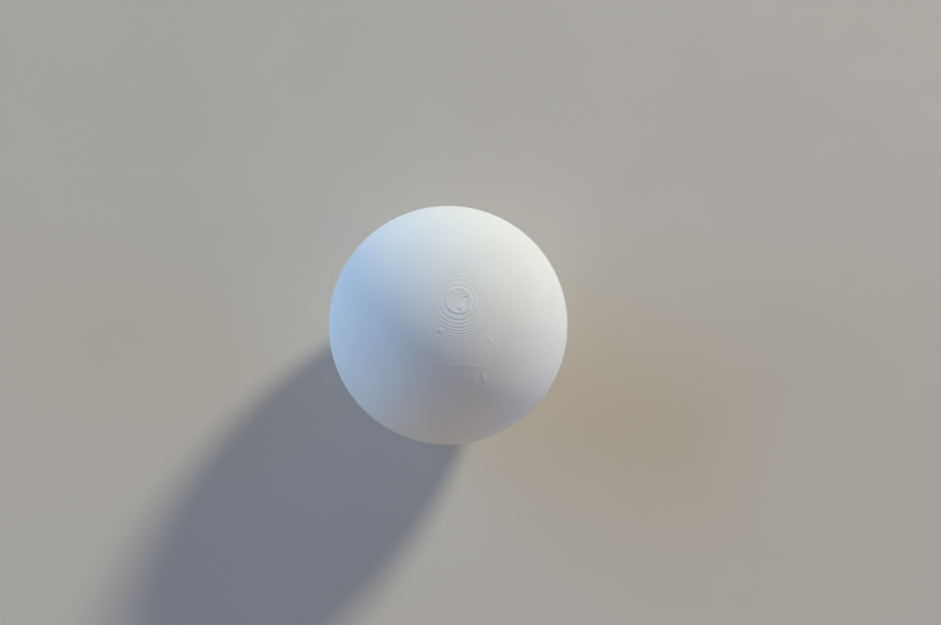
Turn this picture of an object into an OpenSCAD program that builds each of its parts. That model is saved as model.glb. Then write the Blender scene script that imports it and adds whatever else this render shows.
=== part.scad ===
// Table tennis ball, printed in layers as two half shells and glued over an inner joining ring.
// Millimetres. Origin at the ball's centre, +Z along the print axis through both poles.

/* [Ball] */
// Diameter of the ball, measured over the smooth flanks and over the two polar lands
ball_d = 40; // [38:0.5:55]
// Thickness of the printed wall, one line of a 0.4 mm nozzle
wall_t = 0.4; // [0.4:0.05:1.2]

/* [Printed layers] */
// Height of one printed layer
layer_h = 0.1; // [0.05:0.05:0.3]
// Layers at each pole that are modelled as steps, because their treads are wide enough to see
step_layers = 27; // [4:1:40]

/* [Rim] */
// Chamfer on the outer edge of each rim, which leaves a fine V groove along the seam
rim_chamfer = 0.1; // [0.05:0.05:0.2]

/* [Joining ring] */
// Height of the inner ring that laps both half shells
ring_h = 3; // [2:0.5:4]
// Radial thickness of the inner ring
ring_t = 0.4; // [0.4:0.1:1]
// Lead-in chamfer on the ring's inner edges
ring_chamfer = 0.15; // [0.05:0.05:0.2]

/* [Adhesive] */
// Thickness of the adhesive film between the two rims
rim_film_t = 0.06; // [0.04:0.01:0.12]
// Radial clearance round the ring, filled by the adhesive
ring_gap = 0.12; // [0.1:0.01:0.2]
// Radius of the bead squeezed out at each end of the ring
bead_r = 0.3; // [0.2:0.05:0.5]

/* [Hidden] */
$fn = 180;
ball_r = ball_d / 2;
inner_r = ball_r - wall_t;
rim_z = rim_film_t / 2;
crown_z = ball_r - step_layers * layer_h;
ring_outer_r = inner_r - ring_gap;
ring_inner_r = ring_outer_r - ring_t;
ring_top_z = ring_h / 2;
bead_centre_r = sqrt(inner_r ^ 2 - ring_top_z ^ 2);
beyond = 1;
pla_white = [0.9, 0.91, 0.9];
adhesive_clear = [0.86, 0.84, 0.76];

// Outer radius of a layer, counted from 1 at the pole. Its lower edge lies on the ball's sphere.
function layer_r(k) = sqrt(ball_r ^ 2 - (ball_r - k * layer_h) ^ 2);

// The layers next to a pole, each a flat disc that stands on a wider one.
module stepped_crown() {
    steps = [for (k = [1:step_layers])
        each [[layer_r(k), ball_r - (k - 1) * layer_h], [layer_r(k), ball_r - k * layer_h]]];
    rotate_extrude()
        polygon(concat([[0, crown_z], [0, ball_r]], steps));
}

// A zone of a sphere between two heights.
module sphere_zone(r, z_low, z_high) {
    intersection() {
        sphere(r = r);
        translate([0, 0, z_low])
            cylinder(r = r + beyond, h = z_high - z_low);
    }
}

// What the rim's outer chamfer takes away.
module rim_chamfer_cut() {
    rotate_extrude()
        polygon([
            [ball_r - rim_chamfer, rim_z - beyond],
            [ball_r - rim_chamfer, rim_z],
            [ball_r + beyond, rim_z + rim_chamfer + beyond],
            [ball_r + beyond, rim_z - beyond]
        ]);
}

// One half of the ball, dome up, as it stood on the print bed on its flat rim.
module half_shell() {
    difference() {
        union() {
            sphere_zone(ball_r, rim_z, crown_z);
            stepped_crown();
        }
        sphere(r = inner_r);
        rim_chamfer_cut();
    }
}

module upper_half_shell() {
    color(pla_white)
        half_shell();
}

module lower_half_shell() {
    color(pla_white)
        mirror([0, 0, 1])
            half_shell();
}

// Cone that breaks the ring's inner edge at its upper end.
module ring_lead_in() {
    translate([0, 0, ring_top_z - ring_chamfer])
        cylinder(r1 = ring_inner_r, r2 = ring_inner_r + ring_chamfer + beyond, h = ring_chamfer + beyond);
}

// The thin band inside the equator that laps both half shells.
module joining_ring() {
    color(pla_white)
        difference() {
            sphere_zone(ring_outer_r, -ring_top_z, ring_top_z);
            cylinder(r = ring_inner_r, h = ring_h + 2 * beyond, center = true);
            ring_lead_in();
            mirror([0, 0, 1])
                ring_lead_in();
        }
}

// Adhesive pushed out into the corner between the ring's upper end and the wall.
module squeezed_bead() {
    difference() {
        intersection() {
            sphere(r = inner_r);
            translate([0, 0, ring_top_z])
                rotate_extrude()
                    translate([bead_centre_r, 0])
                        circle(r = bead_r);
        }
        translate([0, 0, -beyond])
            cylinder(r = ball_r, h = ring_top_z + beyond);
    }
}

// The cured adhesive: a film between the rims, a film round the ring, and a bead at each of its ends.
module seam_adhesive() {
    color(adhesive_clear)
        union() {
            difference() {
                union() {
                    sphere_zone(inner_r, -ring_top_z, ring_top_z);
                    cylinder(r = ball_r - rim_chamfer, h = rim_film_t, center = true);
                }
                sphere(r = ring_outer_r);
            }
            squeezed_bead();
            mirror([0, 0, 1])
                squeezed_bead();
        }
}

upper_half_shell();
lower_half_shell();
joining_ring();
seam_adhesive();
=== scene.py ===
"""A printed white table tennis ball on a plain pale floor.

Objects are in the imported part's frame, in metres. Mesh points are worked out in millimetres.
"""

import math

import bpy
import numpy as np
from mathutils import Matrix, Vector


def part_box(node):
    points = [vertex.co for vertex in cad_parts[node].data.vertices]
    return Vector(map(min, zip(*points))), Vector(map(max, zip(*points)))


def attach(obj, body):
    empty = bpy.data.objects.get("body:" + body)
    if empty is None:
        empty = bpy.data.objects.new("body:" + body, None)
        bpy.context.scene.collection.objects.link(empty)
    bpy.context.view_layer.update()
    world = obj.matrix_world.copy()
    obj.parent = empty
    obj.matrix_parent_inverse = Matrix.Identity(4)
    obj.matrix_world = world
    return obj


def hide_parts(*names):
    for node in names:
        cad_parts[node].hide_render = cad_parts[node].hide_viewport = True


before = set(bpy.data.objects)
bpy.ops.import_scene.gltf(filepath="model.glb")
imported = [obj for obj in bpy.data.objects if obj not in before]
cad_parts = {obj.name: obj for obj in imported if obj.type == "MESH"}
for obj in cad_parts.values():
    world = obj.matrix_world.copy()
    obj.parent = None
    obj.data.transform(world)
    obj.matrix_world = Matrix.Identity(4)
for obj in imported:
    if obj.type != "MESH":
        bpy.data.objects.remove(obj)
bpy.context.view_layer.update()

MM = 0.001

# ---------------------------------------- sizes from the frame, in millimetres
shell_low, shell_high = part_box("upper_half_shell")
ring_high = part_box("joining_ring")[1]
adhesive_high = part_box("seam_adhesive")[1]
BALL_R = shell_high.z / MM
RIM_Z = shell_low.z / MM
RING_TOP = ring_high.z / MM
RING_OUTER_R = ring_high.x / MM
FILM_R = adhesive_high.x / MM

# ---------------------------------------- wall, ring and adhesive, as in the CAD source
LAYER_H = 0.1
WALL_T = 0.4
RING_T = 0.4
RING_CHAMFER = 0.15
RIM_CHAMFER = 0.1
BEAD_R = 0.3
INNER_R = BALL_R - WALL_T
RING_INNER_R = RING_OUTER_R - RING_T
LAYER_COUNT = round(BALL_R / LAYER_H)

# ---------------------------------------- how the layers look, in millimetres unless said
# width of one printed line
LINE_W = 0.42
# layers counted from the pole: with a finely rounded edge, with a tread that shows, with a foot that shows
FINE_EDGE_LAYERS = 8
CROWN_LAYERS = 27
BELLIED_LAYERS = 60
# share of the ideal stair: at the pole and on the flank, and the layer where the pole's share has halved
CROWN_SHARE = 0.55
FLANK_SHARE = 0.08
CRISP_HALF_LAYER = 16
WORN_HALF_LAYER = 3.5
# a layer's foot: how far it goes in or out, and down
FOOT_NOTCH = 0.01
FOOT_DIP = 0.004
# a layer's shoulder: its width, its widest share of the tread, and the share of it that overhangs
SHOULDER = 0.19
SHOULDER_OF_TREAD = 0.55
OVERHANG = 0.45
EDGE_STEPS = 3
# a tread's first point as a share of its width, and its last, in shoulder widths from the edge
TREAD_START = 0.25
TREAD_END = 1.3
# how far below its top a flank layer is widest
BELLY_DROP = 0.045
# the land's skin: its lines' spacing and relief, their zero level, how far it lies sunk, where it fades out
LAND_RINGS = 21
SKIN_PITCH = 0.42
SKIN_DEPTH = 0.006
SKIN_LEVEL = 0.75
SKIN_SUNK = 0.007
SKIN_FADE = 0.08
# the bead round the land: outward in line widths, and down in units of SKIN_SUNK
LAND_BEAD = [(0, 1.3), (0.2, 0.4), (0.4, 0)]
# the print seam: half width, blob height, ridge height, sidestep per layer
SEAM_W = 0.33
SEAM_BLOB = 0.01
SEAM_RIDGE = 0.013
SEAM_WANDER = 0.0105
# layers over which the seam's ridge grows and fades
SEAM_RIDGE_GROWS = 4
SEAM_RIDGE_FADES = 6
# each layer's outline: random size error, depth, number and drift of its slow waves
LAYER_JITTER = 0.0022
OUTLINE_WAVE = 0.004
OUTLINE_WAVES = 5
OUTLINE_DRIFT = 0.05
# the ragged stretch of the land's edge: degrees over which it fades, and its two sets of teeth per turn
RAGGED_FADE = 8
RAGGED_TEETH = (17, 29)
# mounds lie above this share of the ball's radius
MOUND_ZONE = 0.7
# the rim: steps of its rounded edge, and the least room above it for the last layer's point
RIM_ROUND_STEPS = 3
RIM_ROOM = 0.02

# ---------------------------------------- how the ring and the adhesive look, in millimetres unless said
RING_JITTER = 0.003
RING_BELLY_SUNK = 0.003
RING_OVAL = 0.01
RING_WAVE = 0.004
# the squeezed bead's size varies by this share, in this many waves
BEAD_SWELL = 0.12
BEAD_WAVES = 9
# the film's outer edge: how far it lies back, how ragged it is, and its height as a share of the film's
FILM_SUNK = 0.02
FILM_RAGGED = 0.02
FILM_WAVES = 14
FILM_EDGE_SHARE = 0.6
WAVE_SPREAD = 0.5

# ---------------------------------------- how finely the meshes are cut
FINE_STEPS = 116
COARSE_STEPS = 164
INNER_RINGS = 22
RING_STEPS = 240
FILM_STEPS = 300
FILM_WALL_STEPS = 6
BEAD_STEPS = 8


# ---------------------------------------- half shells: profile
def layer_r(k):
    """Outer radius of layer k, counted from 1 at the pole, as in the CAD source."""
    return math.sqrt(BALL_R**2 - (BALL_R - k * LAYER_H) ** 2)


def land_profile():
    """The flat disc of the last layer, its skin and the bead round it, as (radius, height, layer, sharp)."""
    bead_foot = layer_r(1) - LINE_W
    skin = [(bead_foot * i / LAND_RINGS, BALL_R - SKIN_SUNK, 1, False) for i in range(1, LAND_RINGS)]
    bead = [(bead_foot + out * LINE_W, BALL_R - down * SKIN_SUNK, 1, False) for out, down in LAND_BEAD]
    return skin + bead


def step_share(k, half_layer):
    """How much of the ideal stair a layer keeps: most at the pole, half of that at half_layer."""
    return max(FLANK_SHARE, CROWN_SHARE / (1 + (k / half_layer) ** 2))


def softened(point, share):
    """Draws a point towards the smooth surface that runs through the middle of the stair."""
    radius, z, k, sharp = point
    away = math.hypot(radius, z)
    middle = BALL_R + 0.5 * LAYER_H * z / away
    scale = (middle + share * (away - middle)) / away
    return (radius * scale, z * scale, k, sharp)


def layer_edge(k, shoulder):
    """The rounded edge of layer k, a quarter of an ellipse, and the foot where it meets the layer below."""
    r = layer_r(k) + OVERHANG * shoulder
    top = BALL_R - (k - 1) * LAYER_H
    steps = EDGE_STEPS if k <= FINE_EDGE_LAYERS else 1
    edge = []
    for i in range(steps):
        turn = 0.5 * math.pi * i / steps
        drop = (1 - math.cos(turn)) * LAYER_H
        edge.append((r - shoulder * (1 - math.sin(turn)), top - drop, k, False))
    return edge + [(r + FOOT_NOTCH, top - LAYER_H - FOOT_DIP, k, True)]


def land_edge(half_layer):
    """Layer 1's edge. It leaves the land at its true level and ends as soft as the layers below."""
    soft = step_share(1, half_layer)
    edge = layer_edge(1, SHOULDER)
    return [softened(p, 1 + (soft - 1) * i / EDGE_STEPS) for i, p in enumerate(edge)]


def crown_layer(k, half_layer):
    """A layer whose tread shows: the tread beside the layer above, then the rounded edge."""
    top = BALL_R - (k - 1) * LAYER_H
    inner, outer = layer_r(k - 1), layer_r(k)
    tread = outer - inner
    shoulder = min(SHOULDER, SHOULDER_OF_TREAD * tread)
    points = [(inner + TREAD_START * tread, top, k, False)]
    if tread > LINE_W:
        points.append((outer - TREAD_END * shoulder, top, k, False))
    return [softened(p, step_share(k, half_layer)) for p in points + layer_edge(k, shoulder)]


def flank_layer(k):
    """A layer of the steep side: its belly, and its foot as far down as that still shows."""
    r = layer_r(k)
    top = BALL_R - (k - 1) * LAYER_H
    points = [(r, top - BELLY_DROP, k, False)]
    if k <= BELLIED_LAYERS:
        points.append((r - FOOT_NOTCH, top - LAYER_H, k, True))
    return [softened(p, FLANK_SHARE) for p in points]


def outer_profile(half_layer):
    """From the pole's land down to the rim, with steps as crisp as half_layer says."""
    points = land_profile() + land_edge(half_layer)
    for k in range(2, CROWN_LAYERS + 1):
        points += crown_layer(k, half_layer)
    for k in range(CROWN_LAYERS + 1, LAYER_COUNT):
        points += flank_layer(k)
    edge_z = RIM_Z + RIM_CHAMFER
    points = [p for p in points if p[1] > edge_z + RIM_ROOM]
    for i in range(RIM_ROUND_STEPS + 1):
        turn = 0.5 * math.pi * i / RIM_ROUND_STEPS
        radius = BALL_R - RIM_CHAMFER * (1 - math.cos(turn))
        points.append((radius, edge_z - RIM_CHAMFER * math.sin(turn), LAYER_COUNT, i == 0))
    return points


def inner_profile():
    """From the rim up to the pole, inside. Layer 0 stands for the plain inner face."""
    start = math.asin(RIM_Z / INNER_R)
    angles = [start + (math.pi / 2 - start) * i / INNER_RINGS for i in range(INNER_RINGS)]
    return [(INNER_R * math.cos(a), INNER_R * math.sin(a), 0, i == 0) for i, a in enumerate(angles)]


# ---------------------------------------- half shells: marks
def mound(x, y, at, heading, half_length, half_width):
    """A long low mound on the crown, 1 at its middle, seen along the print axis."""
    c, s = math.cos(math.radians(heading)), math.sin(math.radians(heading))
    along = (x - at[0]) * c + (y - at[1]) * s
    across = (y - at[1]) * c - (x - at[0]) * s
    return np.exp(-((along / half_length) ** 4) - (across / half_width) ** 2)


def turn_from(phi, azimuth):
    """Signed angle from an azimuth, wrapped to half a turn each way."""
    return (phi - azimuth + math.pi) % (2 * math.pi) - math.pi


def land_skin(x, y, heading):
    """Height of the last layer's skin lines, inside its edge bead."""
    c, s = math.cos(math.radians(heading)), math.sin(math.radians(heading))
    across = y * c - x * s
    line = np.abs(np.sin(math.pi * across / SKIN_PITCH)) - SKIN_LEVEL
    inside = np.clip((layer_r(1) - LINE_W - np.hypot(x, y)) / SKIN_FADE, 0, 1)
    return SKIN_DEPTH * line * inside


class Marks:
    """What the printer left on one shell: where each mark is, and how high it stands."""

    def __init__(self, seed, fine_zone, worn, seam, seam_ridge, ragged, skin_heading, mounds):
        random = np.random.default_rng(seed)
        self.fine_zone = np.radians(fine_zone)
        self.worn = worn
        self.seam = math.radians(seam)
        self.seam_ridge = seam_ridge
        self.ragged = ragged
        self.skin_heading = skin_heading
        self.mounds = mounds
        count = LAYER_COUNT + 1
        self.wander = np.cumsum(random.normal(0, SEAM_WANDER, count))
        self.blob = random.uniform(0, 1, count) ** 3
        self.jitter = random.normal(0, LAYER_JITTER, count)
        self.phase = random.uniform(0, 2 * math.pi, (OUTLINE_WAVES, 2))

    def azimuths(self):
        """Angles round the print axis: finer steps across the zone that holds most of the marks."""
        start, stop = self.fine_zone
        fine = start + (stop - start) * np.arange(FINE_STEPS) / FINE_STEPS
        coarse = stop + (2 * math.pi - stop + start) * np.arange(COARSE_STEPS) / COARSE_STEPS
        return np.concatenate([fine, coarse])

    def wear(self, phi):
        """0 where the steps are crisp, 1 where they are smoothed."""
        sides, shares = zip(*self.worn)
        return np.interp(np.degrees(phi), sides, shares, period=360)

    def seam_share(self, k):
        """Where along the seam the line ends pile up into a ridge."""
        first, last = self.seam_ridge
        grown = min(1, max(0, (k - first) / SEAM_RIDGE_GROWS))
        left = min(1, max(0, (last - k) / SEAM_RIDGE_FADES))
        return grown * left

    def outward(self, k, phi):
        """How far layer k's edge is pushed out, in the layer's plane."""
        push = self.jitter[k] * np.ones_like(phi)
        for m, (a, b) in enumerate(self.phase, start=2):
            push += OUTLINE_WAVE / m * np.cos(m * phi + a + OUTLINE_DRIFT * k * math.cos(b))
        start, stop, depth = self.ragged
        if k == 1:
            middle, half = math.radians((start + stop) / 2), math.radians(stop - start) / 2
            share = np.clip((half - np.abs(turn_from(phi, middle))) / math.radians(RAGGED_FADE), 0, 1)
            wide, narrow = RAGGED_TEETH
            push += depth * share * (0.5 + 0.5 * np.sin(wide * phi) * np.sin(narrow * phi + 1))
        return push

    def height(self, x, y, z, k, radius, phi):
        """How far the surface stands proud, along the ball's radius."""
        h = np.zeros_like(phi)
        if radius < layer_r(1):
            h += land_skin(x, y, self.skin_heading)
        if z > MOUND_ZONE * BALL_R:
            for at, heading, half_length, half_width, tall in self.mounds:
                h += tall * mound(x, y, at, heading, half_length, half_width)
        if k >= 2:
            across = turn_from(phi, self.seam) * radius + self.wander[k]
            tall = SEAM_BLOB * self.blob[k] + SEAM_RIDGE * self.seam_share(k)
            h += tall * np.exp(-((across / SEAM_W) ** 2))
        return h


# Angles are in degrees. worn holds (azimuth, wear) pairs, and ragged a start, an end and a depth.
# Each mound is its middle, heading, half length, half width and height.
UPPER_MARKS = Marks(
    seed=7,
    fine_zone=(-130, -42),
    worn=[(-150, 0.65), (-110, 0.25), (-80, 0), (-55, 0), (-15, 1), (50, 1), (100, 0.55)],
    seam=-50,
    seam_ridge=(10, 25),
    ragged=(-88, -10, 0.12),
    skin_heading=30,
    mounds=[
        ((0.65, 0.18), 32, 0.5, 0.1, -0.04),
        ((1.0, 0.38), 28, 0.32, 0.15, -0.055),
        ((0.34, -1.02), 60, 0.5, 0.42, 0.075),
        ((0.0, -1.5), 0, 0.22, 0.18, -0.04),
        ((-0.73, 1.01), 0, 0.14, 0.14, 0.02),
        ((-0.85, 1.58), 30, 0.3, 0.13, 0.03),
        ((-0.15, 1.05), 0, 0.32, 0.2, 0.03),
        ((2.17, 0.0), 0, 0.14, 0.14, 0.03),
        ((2.54, -1.19), 0, 0.14, 0.14, 0.03),
        ((1.45, -1.75), 40, 0.8, 0.3, 0.05),
        ((2.25, -0.35), 98, 0.8, 0.26, 0.03),
        ((-2.62, -4.45), -22, 0.36, 0.2, 0.06),
        ((-3.1, -4.9), -10, 0.5, 0.25, -0.02),
        ((4.7, -5.6), -31, 0.6, 0.22, 0.014),
        ((5.7, -7.4), -67, 0.7, 0.22, 0.012),
        ((-0.74, -8.48), 0, 0.25, 0.22, 0.035),
        ((0.7, -9.4), -3, 3.4, 0.22, 0.018),
        ((4.15, -9.4), 70, 0.35, 0.25, 0.025),
        ((3.98, -10.93), -70, 0.6, 0.25, 0.045),
        ((2.74, -11.68), 0, 0.25, 0.25, 0.025),
        ((10.35, -7.44), 30, 0.5, 0.3, 0.025),
    ],
)
LOWER_MARKS = Marks(
    seed=11,
    fine_zone=(10, 98),
    worn=[(-160, 1), (-90, 0.5), (30, 0), (90, 0.2), (140, 1)],
    seam=40,
    seam_ridge=(20, 30),
    ragged=(60, 110, 0.1),
    skin_heading=-45,
    mounds=[
        ((-0.3, 0.5), 75, 0.5, 0.09, -0.04),
        ((4.1, 3.2), 125, 0.5, 0.15, 0.05),
        ((5.4, 8.1), -30, 1.4, 0.2, 0.01),
    ],
)


# ---------------------------------------- meshes
def link_mesh(name, vertices, faces):
    """Makes an object from points in millimetres."""
    mesh = bpy.data.meshes.new(name)
    mesh.from_pydata((np.asarray(vertices) * MM).tolist(), [], faces)
    mesh.update()
    made = bpy.data.objects.new(name, mesh)
    bpy.context.scene.collection.objects.link(made)
    return made


def ring_at(phi, radius, z):
    """Points round the print axis at a radius and a height for each angle."""
    return np.stack([radius * np.cos(phi), radius * np.sin(phi), z], 1)


def band(low_a, low_b, n):
    """The faces between two rings of n points, given the first point of each."""
    return [(low_a + j, low_b + j, low_b + (j + 1) % n, low_a + (j + 1) % n) for j in range(n)]


def mark_sharp(mesh, sharp_rings, first, n):
    """Creases the rings that are feet of layers or true corners, so that each bead shades on its own."""
    ends = np.zeros(len(mesh.edges) * 2, np.int32)
    mesh.edges.foreach_get("vertices", ends)
    ring_of = (ends.reshape(-1, 2) - first) // n
    inside = (ends.reshape(-1, 2) >= first).all(1) & (ring_of < len(sharp_rings)).all(1)
    ring = np.clip(ring_of, 0, len(sharp_rings) - 1)
    same = inside & (ring[:, 0] == ring[:, 1]) & np.asarray(sharp_rings)[ring[:, 0]]
    attribute = mesh.attributes.new("sharp_edge", "BOOLEAN", "EDGE")
    attribute.data.foreach_set("value", same)


def half_shell(name, node, marks, mirrored):
    """One half of the ball: outer face from the pole to the rim, and back inside."""
    rings = outer_profile(CRISP_HALF_LAYER) + inner_profile()
    worn_rings = outer_profile(WORN_HALF_LAYER) + inner_profile()
    phi = marks.azimuths()
    wear = marks.wear(phi)
    n = len(phi)
    points = [(0.0, 0.0, BALL_R - SKIN_SUNK)]
    for (radius, z, k, _), (worn_radius, worn_z, _, _) in zip(rings, worn_rings):
        edge = k > 0 and radius > layer_r(1) - SHOULDER
        r = radius + wear * (worn_radius - radius) + (marks.outward(k, phi) if edge else 0)
        ring = ring_at(phi, r, z + wear * (worn_z - z))
        if k > 0:
            h = marks.height(ring[:, 0], ring[:, 1], z, k, radius, phi)
            ring *= 1 + (h / BALL_R)[:, None]
        points += ring.tolist()
    points.append((0.0, 0.0, INNER_R))
    last = 1 + (len(rings) - 1) * n
    faces = [(0, 1 + j, 1 + (j + 1) % n) for j in range(n)]
    for i in range(len(rings) - 1):
        faces += band(1 + i * n, 1 + (i + 1) * n, n)
    faces += [(last + j, len(points) - 1, last + (j + 1) % n) for j in range(n)]
    points = np.array(points)
    if mirrored:
        points[:, 2] *= -1
        faces = [tuple(reversed(f)) for f in faces]
    shell = link_mesh(name, points, faces)
    mark_sharp(shell.data, [ring[3] for ring in rings], 1, n)
    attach(shell, "root")
    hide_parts(node)
    return shell


def closed_band(name, rings, sharp_rings):
    """A band whose cross-section closes on itself: rings of points, each a list round the print axis."""
    n = len(rings[0])
    faces = []
    for i in range(len(rings)):
        faces += band(i * n, (i + 1) % len(rings) * n, n)
    made = link_mesh(name, np.concatenate(rings), faces)
    mark_sharp(made.data, sharp_rings, 0, n)
    return made


def joining_ring():
    """The inner ring, printed flat in layers: bellied outside and inside, chamfered at both inner edges."""
    random = np.random.default_rng(23)
    count = round(2 * RING_TOP / LAYER_H)
    jitter = random.normal(0, RING_JITTER, count)
    profile = []
    for i in range(count):
        foot, belly = -RING_TOP + i * LAYER_H, -RING_TOP + (i + 0.5) * LAYER_H
        profile.append((math.sqrt(RING_OUTER_R**2 - foot**2) - FOOT_NOTCH, foot, True))
        profile.append((math.sqrt(RING_OUTER_R**2 - belly**2) - RING_BELLY_SUNK + jitter[i], belly, False))
    profile.append((math.sqrt(RING_OUTER_R**2 - RING_TOP**2) - FOOT_NOTCH, RING_TOP, True))
    for i in reversed(range(count)):
        foot, belly = -RING_TOP + (i + 1) * LAYER_H, -RING_TOP + (i + 0.5) * LAYER_H
        profile.append((ring_bore(foot) + FOOT_NOTCH, foot, True))
        profile.append((ring_bore(belly) + jitter[i], belly, False))
    profile.append((ring_bore(-RING_TOP) + FOOT_NOTCH, -RING_TOP, True))
    phi = 2 * math.pi * np.arange(RING_STEPS) / RING_STEPS
    wave = RING_OVAL * np.cos(2 * phi + 1) + RING_WAVE * np.cos(5 * phi)
    rings = []
    for radius, z, _ in reversed(profile):
        rings.append(ring_at(phi, radius + wave, np.full_like(phi, z)))
    return closed_band("inner_joining_ring", rings, [sharp for _, _, sharp in reversed(profile)])


def ring_bore(z):
    """Inner radius of the joining ring at a height, with its lead-in chamfers."""
    return RING_INNER_R + max(0, abs(z) - RING_TOP + RING_CHAMFER)


def seam_adhesive():
    """The film between the rims, the film round the ring, and an uneven bead at each of the ring's ends."""
    random = np.random.default_rng(31)
    phi = 2 * math.pi * np.arange(FILM_STEPS) / FILM_STEPS
    upper = adhesive_half(random, phi)
    lower = [ring * [1, 1, -1] for ring in adhesive_half(random, phi)]
    rings = upper + lower[::-1]
    sharp = [False] * len(rings)
    for corner in (1, len(upper) - 1 - FILM_WALL_STEPS, len(upper) - FILM_WALL_STEPS):
        sharp[corner] = True
        sharp[len(rings) - 1 - corner] = True
    return closed_band("cured_seam_adhesive", rings[::-1], sharp[::-1])


def adhesive_half(random, phi):
    """The outline above the seam plane, from the film's outer edge inwards and down to the ring's middle."""
    size = 1 + BEAD_SWELL * unevenness(random, phi, BEAD_WAVES)
    reach = FILM_RAGGED * unevenness(random, phi, FILM_WAVES)
    flat = np.zeros_like(phi)
    rings = [
        ring_at(phi, FILM_R - FILM_SUNK + reach, flat + FILM_EDGE_SHARE * RIM_Z),
        ring_at(phi, FILM_R - 2 * FILM_SUNK + reach, flat + RIM_Z),
        ring_at(phi, flat + INNER_R, flat + RIM_Z),
    ]
    for i in range(1, FILM_WALL_STEPS + 1):
        z = RING_TOP * i / FILM_WALL_STEPS
        rings.append(ring_at(phi, flat + math.sqrt(INNER_R**2 - z**2), flat + z))
    corner_r = math.sqrt(INNER_R**2 - RING_TOP**2)
    for i in range(BEAD_STEPS + 1):
        turn = 0.5 * math.pi * i / BEAD_STEPS
        z = RING_TOP + BEAD_R * size * math.cos(turn)
        wall = np.sqrt(INNER_R**2 - z**2)
        r = np.minimum(wall, corner_r - BEAD_R * size * math.sin(turn))
        rings.append(ring_at(phi, r, z))
    for i in range(FILM_WALL_STEPS):
        z = RING_TOP * (1 - i / FILM_WALL_STEPS)
        rings.append(ring_at(phi, flat + math.sqrt(RING_OUTER_R**2 - z**2), flat + z))
    return rings


def unevenness(random, phi, waves):
    """A smooth random wave round the seam, between about -1 and 1."""
    total = np.zeros_like(phi)
    for m in range(2, 2 + waves):
        tall = random.normal(0, WAVE_SPREAD) / math.sqrt(m)
        total += tall * np.cos(m * phi + random.uniform(0, 2 * math.pi))
    return total


# ---------------------------------------- materials
# the span of the noise that a colour or a roughness is spread over
NOISE_LOW = 0.3
NOISE_HIGH = 0.7


class Finish:
    """A Principled material whose colour, roughness and bump come from noise in the object's own space."""

    def __init__(self, name):
        self.material = bpy.data.materials.new(name)
        self.material.use_nodes = True
        self.tree = self.material.node_tree
        self.shader = self.tree.nodes["Principled BSDF"]
        self.place = self.tree.nodes.new("ShaderNodeTexCoord")

    def noise(self, scale, stretch=(1, 1, 1), detail=3.0):
        """Noise with features about 1 / scale metres across, divided by the stretch along each axis."""
        mapping = self.tree.nodes.new("ShaderNodeMapping")
        mapping.inputs["Scale"].default_value = stretch
        self.tree.links.new(self.place.outputs["Object"], mapping.inputs["Vector"])
        texture = self.tree.nodes.new("ShaderNodeTexNoise")
        texture.inputs["Scale"].default_value = scale
        texture.inputs["Detail"].default_value = detail
        self.tree.links.new(mapping.outputs["Vector"], texture.inputs["Vector"])
        return texture.outputs["Fac"]

    def colour(self, noise, dark, light):
        """Spreads two colours over the noise."""
        ramp = self.tree.nodes.new("ShaderNodeValToRGB")
        ramp.color_ramp.elements[0].position = NOISE_LOW
        ramp.color_ramp.elements[0].color = (*dark, 1)
        ramp.color_ramp.elements[1].position = NOISE_HIGH
        ramp.color_ramp.elements[1].color = (*light, 1)
        self.tree.links.new(noise, ramp.inputs["Fac"])
        self.tree.links.new(ramp.outputs["Color"], self.shader.inputs["Base Color"])

    def roughness(self, noise, low, high):
        """Spreads a range of roughness over the noise."""
        span = self.tree.nodes.new("ShaderNodeMapRange")
        span.inputs["From Min"].default_value = NOISE_LOW
        span.inputs["From Max"].default_value = NOISE_HIGH
        span.inputs["To Min"].default_value = low
        span.inputs["To Max"].default_value = high
        self.tree.links.new(noise, span.inputs["Value"])
        self.tree.links.new(span.outputs["Result"], self.shader.inputs["Roughness"])

    def bump(self, noise, depth, under=None):
        """Raises the shading by noise, depth in metres. Returns the bumped normal."""
        node = self.tree.nodes.new("ShaderNodeBump")
        node.inputs["Strength"].default_value = 1.0
        node.inputs["Distance"].default_value = depth
        self.tree.links.new(noise, node.inputs["Height"])
        if under is not None:
            self.tree.links.new(under, node.inputs["Normal"])
        self.tree.links.new(node.outputs["Normal"], self.shader.inputs["Normal"])
        return node.outputs["Normal"]


def printed_plastic(name, dark, light):
    """Matte white filament: faint mottling, a sheen that changes from layer to layer, and a fine grain."""
    finish = Finish(name)
    finish.colour(finish.noise(scale=160, detail=4.0), dark, light)
    along_layers = finish.noise(scale=1, stretch=(60, 60, 9000))
    finish.roughness(along_layers, low=0.72, high=0.88)
    layered = finish.bump(along_layers, depth=2e-6)
    finish.bump(finish.noise(scale=4500), depth=3e-6, under=layered)
    return finish.material


def cured_adhesive():
    """Cloudy set adhesive: yellowish and glossy, with a rippled skin."""
    finish = Finish("cured_adhesive")
    finish.colour(finish.noise(scale=700), dark=(0.72, 0.7, 0.61), light=(0.86, 0.84, 0.76))
    finish.roughness(finish.noise(scale=1500), low=0.18, high=0.38)
    finish.bump(finish.noise(scale=2500), depth=1.5e-5)
    return finish.material


def pale_floor():
    """A smooth pale board with a barely uneven tone."""
    finish = Finish("pale_floor")
    finish.colour(finish.noise(scale=35, detail=5.0), dark=(0.65, 0.59, 0.52), light=(0.67, 0.61, 0.54))
    finish.roughness(finish.noise(scale=120), low=0.66, high=0.74)
    finish.bump(finish.noise(scale=2500), depth=6e-6)
    return finish.material


# ---------------------------------------- stage, camera and light, in metres and degrees
FLOOR_R = 8.0
FLOOR_SIDES = 96
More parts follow.
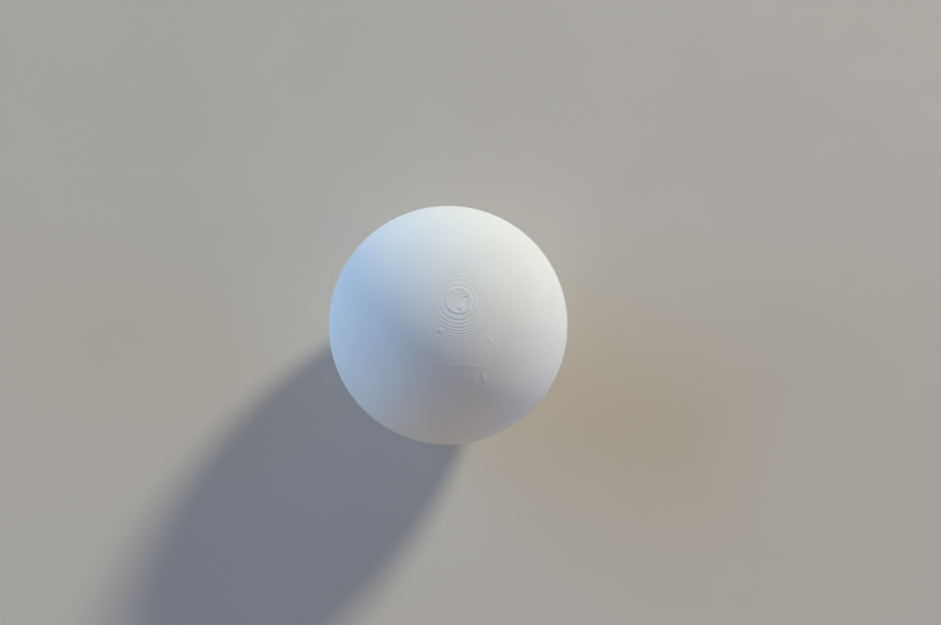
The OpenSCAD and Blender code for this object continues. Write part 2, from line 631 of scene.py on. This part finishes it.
# lens and sensor in millimetres
LENS = 35.0
SENSOR = 36.0
CLIP_START = 0.01
CLIP_END = 10
CAMERA_DISTANCE = 0.1548
CAMERA_AZIMUTH = -26.4
CAMERA_ELEVATION = 77.26
CAMERA_ROLL = 26.4
# where the ball's centre lies off the camera's axis, as a share of its depth
BALL_LEFT_OF_AXIS = 0.02415
BALL_BELOW_AXIS = 0.01377
LIGHT_DISTANCE = 10.0
# each light: name, azimuth from +X towards +Y, elevation, half angle, power as if at one metre, colour
LIGHTS = [
    ("key", 50, 26, 5, 6.9, (1.0, 0.96, 0.73)),
    ("cool_fill", 160, 12, 30, 10.4, (0.25, 0.56, 1.0)),
    ("side_fill", 0, 10, 20, 3.2, (0.03, 0.4, 1.0)),
    ("warm_fill", -40, 12, 20, 1.0, (1.0, 0.45, 0.03)),
]
# the room's two tones, and between which heights, as the sine of the elevation, one turns into the other
HORIZON = (0.4, 0.39, 0.38)
ZENITH = (0.165, 0.14, 0.135)
HORIZON_END = 0.18
ZENITH_START = 0.5


def floor():
    """A round plain floor that ends short of the lights, so none of them glares on it."""
    phi = 2 * math.pi * np.arange(FLOOR_SIDES) / FLOOR_SIDES
    edge = ring_at(phi, FLOOR_R / MM, np.full_like(phi, -BALL_R))
    disc = link_mesh("floor", edge, [tuple(range(FLOOR_SIDES))])
    disc.data.materials.append(pale_floor())


def camera():
    """Looks down at the ball, close and off its own axis, and is rolled about that axis."""
    data = bpy.data.cameras.new("camera")
    data.lens = LENS
    data.sensor_width = SENSOR
    data.clip_start = CLIP_START
    data.clip_end = CLIP_END
    made = bpy.data.objects.new("camera", data)
    bpy.context.scene.collection.objects.link(made)
    azimuth, elevation = math.radians(CAMERA_AZIMUTH), math.radians(CAMERA_ELEVATION)
    back = Vector((
        math.sin(azimuth) * math.cos(elevation),
        -math.cos(azimuth) * math.cos(elevation),
        math.sin(elevation),
    ))
    turn = (-back).to_track_quat("-Z", "Y").to_matrix() @ Matrix.Rotation(math.radians(CAMERA_ROLL), 3, "Z")
    to_ball = Vector((-BALL_LEFT_OF_AXIS, -BALL_BELOW_AXIS, -1)).normalized() * CAMERA_DISTANCE
    made.matrix_world = Matrix.Translation(-(turn @ to_ball)) @ turn.to_4x4()
    bpy.context.scene.camera = made


def soft_light(name, azimuth, elevation, half_angle, power, colour):
    """A round light aimed at the ball. half_angle is how wide it looks from there."""
    data = bpy.data.lights.new(name, "AREA")
    data.shape = "DISK"
    data.size = 2 * LIGHT_DISTANCE * math.tan(math.radians(half_angle))
    data.energy = power * LIGHT_DISTANCE**2
    data.color = colour
    made = bpy.data.objects.new(name, data)
    bpy.context.scene.collection.objects.link(made)
    a, e = math.radians(azimuth), math.radians(elevation)
    direction = Vector((math.cos(a) * math.cos(e), math.sin(a) * math.cos(e), math.sin(e)))
    made.location = direction * LIGHT_DISTANCE
    made.rotation_mode = "QUATERNION"
    made.rotation_quaternion = (-direction).to_track_quat("-Z", "Y")
    made.visible_camera = False


def surroundings():
    """A room that is a pale tone along the horizon and a darker one overhead."""
    world = bpy.data.worlds.new("surroundings")
    world.use_nodes = True
    tree = world.node_tree
    place = tree.nodes.new("ShaderNodeTexCoord")
    split = tree.nodes.new("ShaderNodeSeparateXYZ")
    ramp = tree.nodes.new("ShaderNodeValToRGB")
    ramp.color_ramp.elements[0].position = HORIZON_END
    ramp.color_ramp.elements[0].color = (*HORIZON, 1)
    ramp.color_ramp.elements[1].position = ZENITH_START
    ramp.color_ramp.elements[1].color = (*ZENITH, 1)
    tree.links.new(place.outputs["Generated"], split.inputs["Vector"])
    tree.links.new(split.outputs["Z"], ramp.inputs["Fac"])
    tree.links.new(ramp.outputs["Color"], tree.nodes["Background"].inputs["Color"])
    bpy.context.scene.world = world


# ---------------------------------------- the scene
shell_white = printed_plastic("printed_white_plastic", (0.815, 0.825, 0.815), (0.845, 0.855, 0.845))
for shell in (
    half_shell("upper_shell", "upper_half_shell", UPPER_MARKS, mirrored=False),
    half_shell("lower_shell", "lower_half_shell", LOWER_MARKS, mirrored=True),
):
    shell.data.materials.append(shell_white)

ring = joining_ring()
ring.data.materials.append(printed_plastic("printed_ring_plastic", (0.79, 0.8, 0.79), (0.83, 0.835, 0.825)))
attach(ring, "root")
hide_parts("joining_ring")

adhesive = seam_adhesive()
adhesive.data.materials.append(cured_adhesive())
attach(adhesive, "root")
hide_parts("seam_adhesive")

floor()
camera()
for light in LIGHTS:
    soft_light(*light)
surroundings()
bpy.context.scene.view_settings.view_transform = "Standard"
